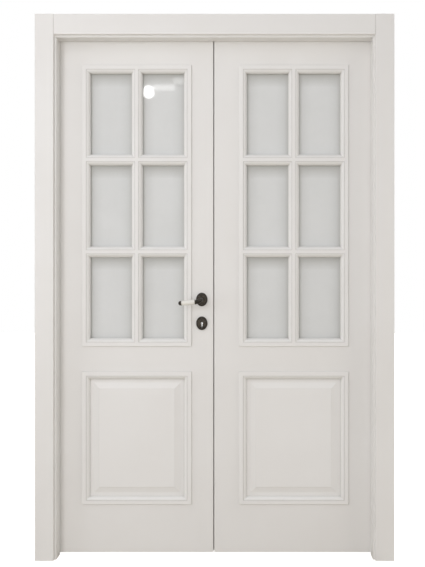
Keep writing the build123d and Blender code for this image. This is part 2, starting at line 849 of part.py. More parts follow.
def cut_strike(stile):
    stile -= strike_blank()
    for pocket in strike_pockets():
        stile -= pocket
    for way in (1, -1):
        stile -= bolt_plate_blank(way)
        stile -= bolt_bore(way)
    return stile


def cut_hinges(stile):
    for height in hinge_heights:
        stile -= block(hinge_edge - hinge_plate, hinge_edge, leaf_back - hinge_plate_deep,
                       leaf_back, height - hinge_tall / 2, height + hinge_tall / 2)
    return stile


def make_frame():
    jamb_head = make_jamb_head()
    jamb_right = make_jamb_leg()
    front = make_casing(stop_x + casing_margin, head_stop + casing_margin, jamb_front, -1)
    back = make_casing(rebate_x + back_margin, head_rebate + back_margin, jamb_back, 1)
    parts = {"jamb_left": left_of(jamb_right), "jamb_right": jamb_right, "jamb_head": jamb_head}
    for side, casing in (("front", front), ("back", back)):
        for place, shape in zip(("left", "right", "head"), casing):
            parts[side + "_casing_" + place] = shape
    plates = make_hinge_plates(rebate_x, rebate_x + hinge_plate, 0, pin_radius)
    pins = make_hinge_pins()
    parts["frame_seal"] = make_frame_seal(jamb_head)
    parts["hinge_jamb_plates"] = group(plates + [left_of(plate) for plate in plates])
    parts["hinge_pins"] = group(pins + [left_of(pin) for pin in pins])
    parts["head_keep"] = make_head_keep()
    return parts


def make_left_leaf():
    low = hinge_margin - hinge_edge
    high = left_edge - lock_margin
    hinge_section = mirror(hinge_stile_section(-(low + mould_lap)), about=Plane.YZ)
    parts = make_leaf("left", low, high, {
        "hinge_stile": hinge_section, "lock_stile": lock_stile_section(high - mould_lap)})
    parts["left_hinge_stile"] = left_of(cut_hinges(left_of(parts["left_hinge_stile"])))
    parts["left_lock_stile"] = cut_lock(parts["left_lock_stile"])
    return parts


def make_right_leaf():
    high = hinge_edge - hinge_margin
    low = right_edge + meeting_margin
    parts = make_leaf("right", low, high, {
        "meeting_stile": meeting_stile_section(low + mould_lap),
        "hinge_stile": hinge_stile_section(high - mould_lap)})
    parts["right_hinge_stile"] = cut_hinges(parts["right_hinge_stile"])
    parts["right_meeting_stile"] = cut_strike(parts["right_meeting_stile"])
    return parts


def make_hardware():
    plates = make_hinge_plates(hinge_edge - hinge_plate, hinge_edge, 1, pin_radius + pin_clear)
    rose, keyhole_plate = make_rose(), make_keyhole_plate()
    neck, grip, tip = make_neck(), make_grip(), make_tip()
    return {
        "left_hinge_plates": group([left_of(plate) for plate in plates]),
        "right_hinge_plates": group(plates),
        "lock_case": make_lock_case(),
        "lock_faceplate": make_faceplate(),
        "roses": group([rose, back_of(rose)]),
        "keyhole_plates": group([keyhole_plate, back_of(keyhole_plate)]),
        "spindle": spindle_bar(0),
        "lock_follower": make_follower(),
        "lever_neck_front": neck,
        "lever_neck_back": back_of(neck),
        "lever_grip_front": grip,
        "lever_grip_back": back_of(grip),
        "lever_tips": group([tip, back_of(tip)]),
        "latch_bolt": make_latch(),
        "dead_bolt": make_dead_bolt(),
        "strike_plate": make_strike(),
        "flush_bolt_plates": group([make_bolt_plate(1), make_bolt_plate(-1)]),
        "top_bolt": make_flush_bolt(1),
        "bottom_bolt": make_flush_bolt(-1),
    }


def main():
    os.makedirs("parts", exist_ok=True)
    parts = make_frame() | make_left_leaf() | make_right_leaf() | make_hardware()
    for name, shape in parts.items():
        export_step(shape, "parts/" + name + ".step")
    print(len(parts), "parts written")


main()
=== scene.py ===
import bpy
import bmesh
import json
import math
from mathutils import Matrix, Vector

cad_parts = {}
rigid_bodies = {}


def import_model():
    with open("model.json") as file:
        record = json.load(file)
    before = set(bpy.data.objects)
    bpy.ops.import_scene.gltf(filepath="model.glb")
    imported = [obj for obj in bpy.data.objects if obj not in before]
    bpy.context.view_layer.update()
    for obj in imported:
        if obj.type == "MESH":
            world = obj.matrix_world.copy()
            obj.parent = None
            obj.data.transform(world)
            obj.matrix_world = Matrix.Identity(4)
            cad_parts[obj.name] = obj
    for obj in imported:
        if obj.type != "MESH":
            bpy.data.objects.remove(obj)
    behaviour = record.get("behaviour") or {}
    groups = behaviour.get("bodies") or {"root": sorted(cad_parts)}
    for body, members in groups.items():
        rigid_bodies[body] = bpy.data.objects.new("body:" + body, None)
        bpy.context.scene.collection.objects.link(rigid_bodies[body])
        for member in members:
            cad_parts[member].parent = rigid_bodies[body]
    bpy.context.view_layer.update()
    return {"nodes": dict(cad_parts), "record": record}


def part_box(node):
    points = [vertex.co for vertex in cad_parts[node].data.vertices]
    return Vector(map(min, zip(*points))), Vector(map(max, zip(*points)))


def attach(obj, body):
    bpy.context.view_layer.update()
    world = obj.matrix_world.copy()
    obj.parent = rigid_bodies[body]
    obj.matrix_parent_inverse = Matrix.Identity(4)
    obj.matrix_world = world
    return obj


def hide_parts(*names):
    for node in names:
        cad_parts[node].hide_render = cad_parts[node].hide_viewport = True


# White double door with glazed upper panels: finishes, screws, seal, studio and camera

for leftover in list(bpy.data.objects):
    bpy.data.objects.remove(leftover)
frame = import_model()
scene = bpy.context.scene
print("frame loaded:", len(frame["nodes"]), "nodes")


# camera: level, square to the door, with its eye right of the middle and above half height

viewpoint = {
    "place": (0.131, -2.77, 1.123),
    "lens": 44.8,
    "sensor": 36.0,
    "shift": (-0.06424, -0.0309),  # the picture was cropped off centre
    "picture": (425, 567),
    "clip": (0.05, 60.0),
}


def addCamera(spec):
    lens = bpy.data.cameras.new("camera")
    lens.lens = spec["lens"]
    lens.sensor_fit = "VERTICAL"
    lens.sensor_width = spec["sensor"]
    lens.sensor_height = spec["sensor"]
    lens.shift_x, lens.shift_y = spec["shift"]
    lens.clip_start, lens.clip_end = spec["clip"]
    camera = bpy.data.objects.new("camera", lens)
    camera.location = spec["place"]
    camera.rotation_euler = (math.pi / 2, 0, 0)
    scene.collection.objects.link(camera)
    scene.camera = camera


# small helpers for node trees

def addNode(tree, kind, place, **settings):
    node = tree.nodes.new(kind)
    node.location = place
    for key, value in settings.items():
        setattr(node, key, value)
    return node


def setInputs(node, **values):
    for key, value in values.items():
        node.inputs[key.replace("_", " ")].default_value = value
    return node


def startGroup(name, kind, inputs, outputs):
    tree = bpy.data.node_groups.new(name, kind)
    for label, socket, value in inputs:
        made = tree.interface.new_socket(name=label, in_out="INPUT", socket_type=socket)
        if value is not None:
            made.default_value = value
    for label, socket in outputs:
        tree.interface.new_socket(name=label, in_out="OUTPUT", socket_type=socket)
    source = addNode(tree, "NodeGroupInput", (-900, 0))
    sink = addNode(tree, "NodeGroupOutput", (700, 0))
    return tree, source.outputs, sink.inputs


# shader groups that several finishes share

noiseMiddle = 0.5
noises = {
    "drift": {"Detail": 3.0, "Roughness": 0.55},
    "ripple": {"Detail": 2.0, "Roughness": 0.45},
    "gloss": {"Detail": 4.0, "Roughness": 0.6},
    "grain": {"Detail": 6.0, "Roughness": 0.7},
}
noiseSpans = {             # the part of a noise's range that counts
    "gloss": {"From_Min": 0.3, "From_Max": 0.7},
    "scratch": {"From_Min": 0.56, "From_Max": 0.72},
    "breaks": {"From_Min": 0.35, "From_Max": 0.6},
}
# samples of the occlusion that gives the painted shade in hollows
paintedShadeSamples = 8


def buildToneDrift():
    # slow change between two tones, as a sprayed or fired surface has
    tree, take, give = startGroup("Tone drift", "ShaderNodeTree", [
        ("Main Tone", "NodeSocketColor", (0.8, 0.8, 0.8, 1)),
        ("Other Tone", "NodeSocketColor", (0.75, 0.75, 0.75, 1)),
        ("Patches per Metre", "NodeSocketFloat", 4.0),
        ("Spread", "NodeSocketFloat", 0.2)], [("Colour", "NodeSocketColor")])
    link = tree.links.new
    place = addNode(tree, "ShaderNodeTexCoord", (-900, -250))
    noise = addNode(tree, "ShaderNodeTexNoise", (-650, -150))
    setInputs(noise, **noises["drift"])
    low = addNode(tree, "ShaderNodeMath", (-400, 100), operation="SUBTRACT")
    high = addNode(tree, "ShaderNodeMath", (-400, -50), operation="ADD")
    reach = addNode(tree, "ShaderNodeMapRange", (-200, -100), interpolation_type="SMOOTHSTEP")
    mix = addNode(tree, "ShaderNodeMix", (300, 0), data_type="RGBA")
    low.inputs[0].default_value = noiseMiddle
    high.inputs[0].default_value = noiseMiddle
    link(place.outputs["Object"], noise.inputs["Vector"])
    link(take["Patches per Metre"], noise.inputs["Scale"])
    link(take["Spread"], low.inputs[1])
    link(take["Spread"], high.inputs[1])
    link(noise.outputs["Fac"], reach.inputs["Value"])
    link(low.outputs[0], reach.inputs["From Min"])
    link(high.outputs[0], reach.inputs["From Max"])
    link(reach.outputs["Result"], mix.inputs["Factor"])
    link(take["Main Tone"], mix.inputs["A"])
    link(take["Other Tone"], mix.inputs["B"])
    link(mix.outputs["Result"], give["Colour"])
    return tree


def buildSurfaceFilm():
    # fine ripple of a sprayed, fired or moulded skin, with a gloss that changes a little
    tree, take, give = startGroup("Surface film", "ShaderNodeTree", [
        ("Ripples per Metre", "NodeSocketFloat", 600.0),
        ("Gloss Patches", "NodeSocketFloat", 9.0),
        ("Smoothest", "NodeSocketFloat", 0.3),
        ("Roughest", "NodeSocketFloat", 0.4)],
        [("Height", "NodeSocketFloat"), ("Roughness", "NodeSocketFloat")])
    link = tree.links.new
    place = addNode(tree, "ShaderNodeTexCoord", (-900, -250))
    ripple = addNode(tree, "ShaderNodeTexNoise", (-550, 100))
    patch = addNode(tree, "ShaderNodeTexNoise", (-550, -250))
    setInputs(ripple, **noises["ripple"])
    setInputs(patch, **noises["gloss"])
    gloss = addNode(tree, "ShaderNodeMapRange", (-200, -200))
    setInputs(gloss, **noiseSpans["gloss"])
    link(place.outputs["Object"], ripple.inputs["Vector"])
    link(place.outputs["Object"], patch.inputs["Vector"])
    link(take["Ripples per Metre"], ripple.inputs["Scale"])
    link(take["Gloss Patches"], patch.inputs["Scale"])
    link(patch.outputs["Fac"], gloss.inputs["Value"])
    link(take["Smoothest"], gloss.inputs["To Min"])
    link(take["Roughest"], gloss.inputs["To Max"])
    link(ripple.outputs["Fac"], give["Height"])
    link(gloss.outputs["Result"], give["Roughness"])
    return tree


def buildBrushedGrain():
    # scratches along one direction: noise that is squeezed across it
    tree, take, give = startGroup("Brushed grain", "ShaderNodeTree", [
        ("Squeeze", "NodeSocketVector", (1.0, 1.0, 30.0)),
        ("Lines per Metre", "NodeSocketFloat", 120.0),
        ("Smoothest", "NodeSocketFloat", 0.25),
        ("Roughest", "NodeSocketFloat", 0.45)],
        [("Height", "NodeSocketFloat"), ("Roughness", "NodeSocketFloat"),
         ("Scratch", "NodeSocketFloat")])
    link = tree.links.new
    place = addNode(tree, "ShaderNodeTexCoord", (-900, -250))
    stretch = addNode(tree, "ShaderNodeVectorMath", (-700, -150), operation="MULTIPLY")
    grain = addNode(tree, "ShaderNodeTexNoise", (-450, 0))
    setInputs(grain, **noises["grain"])
    gloss = addNode(tree, "ShaderNodeMapRange", (-150, -200))
    setInputs(gloss, **noiseSpans["gloss"])
    scratch = addNode(tree, "ShaderNodeMapRange", (-150, -450))
    setInputs(scratch, **noiseSpans["scratch"])
    link(place.outputs["Object"], stretch.inputs[0])
    link(take["Squeeze"], stretch.inputs[1])
    link(stretch.outputs[0], grain.inputs["Vector"])
    link(take["Lines per Metre"], grain.inputs["Scale"])
    link(grain.outputs["Fac"], gloss.inputs["Value"])
    link(grain.outputs["Fac"], scratch.inputs["Value"])
    link(take["Smoothest"], gloss.inputs["To Min"])
    link(take["Roughest"], gloss.inputs["To Max"])
    link(grain.outputs["Fac"], give["Height"])
    link(gloss.outputs["Result"], give["Roughness"])
    link(scratch.outputs["Result"], give["Scratch"])
    return tree


def buildEdgeRub():
    # where hands and cloths have rubbed the raised edges
    tree, take, give = startGroup("Edge rub", "ShaderNodeTree", [
        ("Edge Start", "NodeSocketFloat", 0.51),
        ("Edge Full", "NodeSocketFloat", 0.6),
        ("Breaks per Metre", "NodeSocketFloat", 350.0)], [("Rubbed", "NodeSocketFloat")])
    link = tree.links.new
    shape = addNode(tree, "ShaderNodeNewGeometry", (-900, -250))
    place = addNode(tree, "ShaderNodeTexCoord", (-900, -500))
    edge = addNode(tree, "ShaderNodeMapRange", (-550, 0))
    noise = addNode(tree, "ShaderNodeTexNoise", (-650, -450))
    breaks = addNode(tree, "ShaderNodeMapRange", (-400, -400))
    setInputs(breaks, **noiseSpans["breaks"])
    both = addNode(tree, "ShaderNodeMath", (0, 0), operation="MULTIPLY")
    link(shape.outputs["Pointiness"], edge.inputs["Value"])
    link(take["Edge Start"], edge.inputs["From Min"])
    link(take["Edge Full"], edge.inputs["From Max"])
    link(place.outputs["Object"], noise.inputs["Vector"])
    link(take["Breaks per Metre"], noise.inputs["Scale"])
    link(noise.outputs["Fac"], breaks.inputs["Value"])
    link(edge.outputs["Result"], both.inputs[0])
    link(breaks.outputs["Result"], both.inputs[1])
    link(both.outputs[0], give["Rubbed"])
    return tree


def buildBoardJoint():
    # the thin line that shows where two painted boards meet end to side
    tree, take, give = startGroup("Board joint", "ShaderNodeTree", [
        ("Distance from Middle", "NodeSocketFloat", 0.611),
        ("Half Width", "NodeSocketFloat", 0.0007),
        ("Above", "NodeSocketFloat", 2.0)], [("Line", "NodeSocketFloat")])
    link = tree.links.new
    place = addNode(tree, "ShaderNodeTexCoord", (-900, -250))
    split = addNode(tree, "ShaderNodeSeparateXYZ", (-720, -250))
    side = addNode(tree, "ShaderNodeMath", (-540, 0), operation="ABSOLUTE")
    near = addNode(tree, "ShaderNodeMath", (-360, 0), operation="COMPARE")
    high = addNode(tree, "ShaderNodeMath", (-360, -250), operation="GREATER_THAN")
    both = addNode(tree, "ShaderNodeMath", (0, 0), operation="MULTIPLY")
    link(place.outputs["Object"], split.inputs[0])
    link(split.outputs["X"], side.inputs[0])
    link(side.outputs[0], near.inputs[0])
    link(take["Distance from Middle"], near.inputs[1])
    link(take["Half Width"], near.inputs[2])
    link(split.outputs["Z"], high.inputs[0])
    link(take["Above"], high.inputs[1])
    link(near.outputs[0], both.inputs[0])
    link(high.outputs[0], both.inputs[1])
    link(both.outputs[0], give["Line"])
    return tree


def buildPaintedHollowShade():
    # mask for painted shade: how open a place is, low in quirks, corners and under edges, more so
    # with an upward lean
    tree, take, give = startGroup("Painted hollow shade", "ShaderNodeTree", [
        ("Reach", "NodeSocketFloat", 0.02),
        ("Lean", "NodeSocketFloat", 0.5),
        ("Deepest", "NodeSocketFloat", 0.4),
        ("Clear", "NodeSocketFloat", 0.9)], [("Open", "NodeSocketFloat")])
    link = tree.links.new
    shape = addNode(tree, "ShaderNodeNewGeometry", (-900, -250))
    up = addNode(tree, "ShaderNodeCombineXYZ", (-700, 0))
    lean = addNode(tree, "ShaderNodeVectorMath", (-500, -100), operation="ADD")
    ahead = addNode(tree, "ShaderNodeVectorMath", (-300, -100), operation="NORMALIZE")
    room = addNode(tree, "ShaderNodeAmbientOcclusion", (-100, 0), samples=paintedShadeSamples)
    fade = addNode(tree, "ShaderNodeMapRange", (300, 0))
    link(take["Lean"], up.inputs["Z"])
    link(shape.outputs["Normal"], lean.inputs[0])
    link(up.outputs[0], lean.inputs[1])
    link(lean.outputs[0], ahead.inputs[0])
    link(ahead.outputs[0], room.inputs["Normal"])
    link(take["Reach"], room.inputs["Distance"])
    link(room.outputs["AO"], fade.inputs["Value"])
    link(take["Deepest"], fade.inputs["From Min"])
    link(take["Clear"], fade.inputs["From Max"])
    link(fade.outputs["Result"], give["Open"])
    return tree


shared = {
    "tone": buildToneDrift(),
    "film": buildSurfaceFilm(),
    "grain": buildBrushedGrain(),
    "rub": buildEdgeRub(),
    "joint": buildBoardJoint(),
    "paintedShade": buildPaintedHollowShade(),
}
print("shader groups built:", len(shared))


def startMaterial(name):
    material = bpy.data.materials.new(name)
    material.use_nodes = True
    tree = material.node_tree
    tree.nodes.clear()
    surface = addNode(tree, "ShaderNodeBsdfPrincipled", (400, 0))
    output = addNode(tree, "ShaderNodeOutputMaterial", (700, 0))
    tree.links.new(surface.outputs["BSDF"], output.inputs["Surface"])
    return material, tree, surface


def useGroup(tree, key, place, **values):
    node = addNode(tree, "ShaderNodeGroup", place, node_tree=shared[key])
    return setInputs(node, **values)


def addBump(tree, surface, height, spec):
    bump = addNode(tree, "ShaderNodeBump", (150, -350))
    setInputs(bump, Strength=spec["rippleShare"], Distance=spec["rippleDepth"])
    tree.links.new(height, bump.inputs["Height"])
    tree.links.new(bump.outputs["Normal"], surface.inputs["Normal"])


def addSkin(tree, surface, spec):
    # what every finish but steel has: a tone that drifts, a fine ripple and an uneven gloss
    tone = useGroup(tree, "tone", (-500, 200), Main_Tone=spec["tone"],
                    Other_Tone=spec["otherTone"], Patches_per_Metre=spec["patches"],
                    Spread=spec["spread"])
    film = useGroup(tree, "film", (-500, -200), Ripples_per_Metre=spec["ripples"],
                    Gloss_Patches=spec["glossPatches"], Smoothest=spec["smoothest"],
                    Roughest=spec["roughest"])
    tree.links.new(film.outputs["Roughness"], surface.inputs["Roughness"])
    addBump(tree, surface, film.outputs["Height"], spec)
    return tone.outputs["Colour"]


def mixColours(tree, place, share, first, second):
    # each colour is a plain tone or another node's output
    mix = addNode(tree, "ShaderNodeMix", place, data_type="RGBA")
    tree.links.new(share, mix.inputs["Factor"])
    for key, colour in (("A", first), ("B", second)):
        if isinstance(colour, tuple):
            mix.inputs[key].default_value = colour
        else:
            tree.links.new(colour, mix.inputs[key])
    return mix.outputs["Result"]


def addPaintedShade(tree, spec, colour):
    # paints shade into the colour where the place is least open
    paintedShade = useGroup(tree, "paintedShade", (-500, 800), **spec["paintedShade"])
    return mixColours(tree, (50, 300), paintedShade.outputs["Open"], spec["paintedShadeTone"], colour)


# satin lacquer on all the woodwork; mouldings, bars and panels get a lighter copy with painted
# light, and painted shade in their hollows

lacquer = {
    "tone": (0.815, 0.808, 0.793, 1),
    "otherTone": (0.797, 0.787, 0.769, 1),
    "jointTone": (0.58, 0.56, 0.53, 1),
    "patches": 3.5,
    "spread": 0.22,
    "ripples": 420.0,
    "rippleShare": 0.6,
    "rippleDepth": 0.00004,
    "glossPatches": 7.0,
    "smoothest": 0.3,
    "roughest": 0.42,
}
# the lighter tone is painted light on the mouldings' faces; the dark tone is painted shade in
# their hollows
mouldingLacquerPaintedLightAndShade = dict(lacquer, tone=(0.835, 0.83, 0.817, 1), otherTone=(0.817, 0.809, 0.793, 1),
                       paintedShadeTone=(0.48, 0.47, 0.435, 1),
                       paintedShade={"Reach": 0.014, "Lean": 0.5, "Deepest": 0.25, "Clear": 0.85})
mouldedParts = ("mould", "bars", "panel")


def makeLacquer(name, spec, jointAt=None, jointAbove=0.0):
    material, tree, surface = startMaterial(name)
    colour = addSkin(tree, surface, spec)
    if jointAt:
        line = useGroup(tree, "joint", (-500, 500), Distance_from_Middle=jointAt,
                        Above=jointAbove)
        colour = mixColours(tree, (-150, 300), line.outputs["Line"], colour, spec["jointTone"])
    # painted shade in the hollows, for the finishes that ask for it
    if "paintedShade" in spec:
        colour = addPaintedShade(tree, spec, colour)
    tree.links.new(colour, surface.inputs["Base Color"])
    return material


# white satin glass, glossy on its polished faces, with painted shade towards each pane's rim

glassSheet = {
    "tone": (0.81, 0.824, 0.823, 1),
    "otherTone": (0.775, 0.79, 0.787, 1),
    "patches": 6.0,
    "spread": 0.2,
    "ripples": 14.0,
    "rippleShare": 0.05,
    "rippleDepth": 0.0006,
    "glossPatches": 20.0,
    "smoothest": 0.5,
    "roughest": 0.6,
    "paintedShadeTone": (0.53, 0.535, 0.515, 1),
    # painted shade towards each pane's rim, darkest at its top, where the mouldings shade the
    # recessed glass
    "paintedShade": {"Reach": 0.05, "Lean": 1.05, "Deepest": 0.45, "Clear": 0.92},
    "letsThrough": 0.12,
    "coatRoughness": 0.04,
    "ior": 1.5,
}


def makeGlass(spec):
    material, tree, surface = startMaterial("satinGlass")
    # painted shade mixed in towards the panes' rims
    colour = addPaintedShade(tree, spec, addSkin(tree, surface, spec))
    tree.links.new(colour, surface.inputs["Base Color"])
    setInputs(surface, IOR=spec["ior"], Transmission_Weight=spec["letsThrough"], Coat_Weight=1.0,
              Coat_Roughness=spec["coatRoughness"], Coat_IOR=spec["ior"])
    return material


# dark bronze of the roses, necks and tips, rubbed brighter on its edges

darkBronze = {
    "tone": (0.06, 0.054, 0.047, 1),
    "otherTone": (0.036, 0.032, 0.028, 1),
    "rubbedTone": (0.17, 0.145, 0.115, 1),
    "metal": 0.85,
    "patches": 140.0,
    "spread": 0.18,
    "ripples": 900.0,
    "rippleShare": 0.5,
    "rippleDepth": 0.0001,
    "glossPatches": 160.0,
    "smoothest": 0.28,
    "roughest": 0.5,
}


def makeDarkBronze(spec):
    material, tree, surface = startMaterial("darkBronze")
    rub = useGroup(tree, "rub", (-500, 500))
    colour = mixColours(tree, (-150, 300), rub.outputs["Rubbed"], addSkin(tree, surface, spec),
                        spec["rubbedTone"])
    tree.links.new(colour, surface.inputs["Base Color"])
    setInputs(surface, Metallic=spec["metal"])
    return material


# glazed porcelain of the grips, with a faint network of fine cracks in its glaze

porcelainGlaze = {
    "tone": (0.85, 0.84, 0.80, 1),
    "otherTone": (0.82, 0.805, 0.755, 1),
    "crackTone": (0.62, 0.57, 0.48, 1),
    "cracksPerMetre": 210.0,
    "crackWide": 0.02,
    "crackShare": 0.35,
    "patches": 40.0,
    "spread": 0.2,
    "ripples": 220.0,
    "rippleShare": 0.2,
    "rippleDepth": 0.0002,
    "glossPatches": 90.0,
    "smoothest": 0.08,
    "roughest": 0.16,
    "coat": 0.5,
    "coatRoughness": 0.05,
}


def makePorcelain(spec):
    material, tree, surface = startMaterial("porcelainGlaze")
    link = tree.links.new
    place = addNode(tree, "ShaderNodeTexCoord", (-900, 600))
    cells = addNode(tree, "ShaderNodeTexVoronoi", (-700, 600), feature="DISTANCE_TO_EDGE")
    setInputs(cells, Scale=spec["cracksPerMetre"])
    crack = addNode(tree, "ShaderNodeMapRange", (-500, 600))
    setInputs(crack, From_Min=0.0, From_Max=spec["crackWide"], To_Min=spec["crackShare"],
              To_Max=0.0)
    link(place.outputs["Object"], cells.inputs["Vector"])
    link(cells.outputs["Distance"], crack.inputs["Value"])
    colour = mixColours(tree, (-150, 300), crack.outputs["Result"], addSkin(tree, surface, spec),
                        spec["crackTone"])
    link(colour, surface.inputs["Base Color"])
    setInputs(surface, Coat_Weight=spec["coat"], Coat_Roughness=spec["coatRoughness"])
    return material


# steel of the hinges and of the lock's plates and bolts

steelFinishes = {
    "hingeSteel": {"tone": (0.60, 0.59, 0.57, 1), "scratchTone": (0.74, 0.73, 0.70, 1),
                   "squeeze": (24.0, 24.0, 1.0), "lines": 60.0, "smoothest": 0.26,
                   "roughest": 0.44, "rippleShare": 0.25, "rippleDepth": 0.00005},
    "lockSteel": {"tone": (0.53, 0.515, 0.49, 1), "scratchTone": (0.66, 0.645, 0.61, 1),
                  "squeeze": (18.0, 18.0, 0.8), "lines": 90.0, "smoothest": 0.24,
                  "roughest": 0.4, "rippleShare": 0.25, "rippleDepth": 0.00005},
}


def makeSteel(name, spec):
    material, tree, surface = startMaterial(name)
    grain = useGroup(tree, "grain", (-500, 0), Squeeze=spec["squeeze"],
                     Lines_per_Metre=spec["lines"], Smoothest=spec["smoothest"],
                     Roughest=spec["roughest"])
    colour = mixColours(tree, (-150, 200), grain.outputs["Scratch"], spec["tone"],
                        spec["scratchTone"])
    tree.links.new(colour, surface.inputs["Base Color"])
    tree.links.new(grain.outputs["Roughness"], surface.inputs["Roughness"])
    setInputs(surface, Metallic=1.0)
    addBump(tree, surface, grain.outputs["Height"], spec)
    return material


# soft pale seal in the stop

sealRubber = {
    "tone": (0.62, 0.605, 0.57, 1),
    "otherTone": (0.55, 0.54, 0.51, 1),
    "patches": 60.0,
    "spread": 0.25,
    "ripples": 1500.0,
    "rippleShare": 0.4,
    "rippleDepth": 0.0001,
    "glossPatches": 50.0,
    "smoothest": 0.55,
    "roughest": 0.75,
}


def makeSealRubber(spec):
    material, tree, surface = startMaterial("sealRubber")
    tree.links.new(addSkin(tree, surface, spec), surface.inputs["Base Color"])
    return material


finishes = {
    "lacquer": makeLacquer("lacquer", lacquer),
    "glass": makeGlass(glassSheet),
    "dark_metal": makeDarkBronze(darkBronze),
    "porcelain": makePorcelain(porcelainGlaze),
    "hinge_steel": makeSteel("hingeSteel", steelFinishes["hingeSteel"]),
    "lock_steel": makeSteel("lockSteel", steelFinishes["lockSteel"]),
    "seal": makeSealRubber(sealRubber),
}


def dress(node, material):
    held = frame["nodes"][node]
    if not held.data.materials:
        held.data.materials.append(material)
    for holder in held.material_slots:
        holder.material = material


# mouldings, bars and panels take the lighter lacquer with painted light and painted shade
moulded = makeLacquer("mouldingLacquerPaintedLightAndShade", mouldingLacquerPaintedLightAndShade)
for subpart in frame["record"]["subparts"]:
    isMoulded = any(word in subpart["node"] for word in mouldedParts)
    dress(subpart["node"], moulded if isMoulded else finishes[subpart["material_slot"]])

# the casings' legs run full height, and the head's ends show as a hairline against them
for face in ("front", "back"):
    headLow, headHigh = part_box(face + "_casing_head")
    jointed = makeLacquer(face + "CasingLacquer", lacquer, headHigh.x, headLow.z)
    for part in ("left", "right", "head"):
        dress(face + "_casing_" + part, jointed)
print("finishes given to", len(frame["nodes"]), "nodes")


# screws: one tree lays a row of heads, every second one stepped aside

screwShape = {"sides": 28, "taper": 0.84, "bladeLength": 1.25}


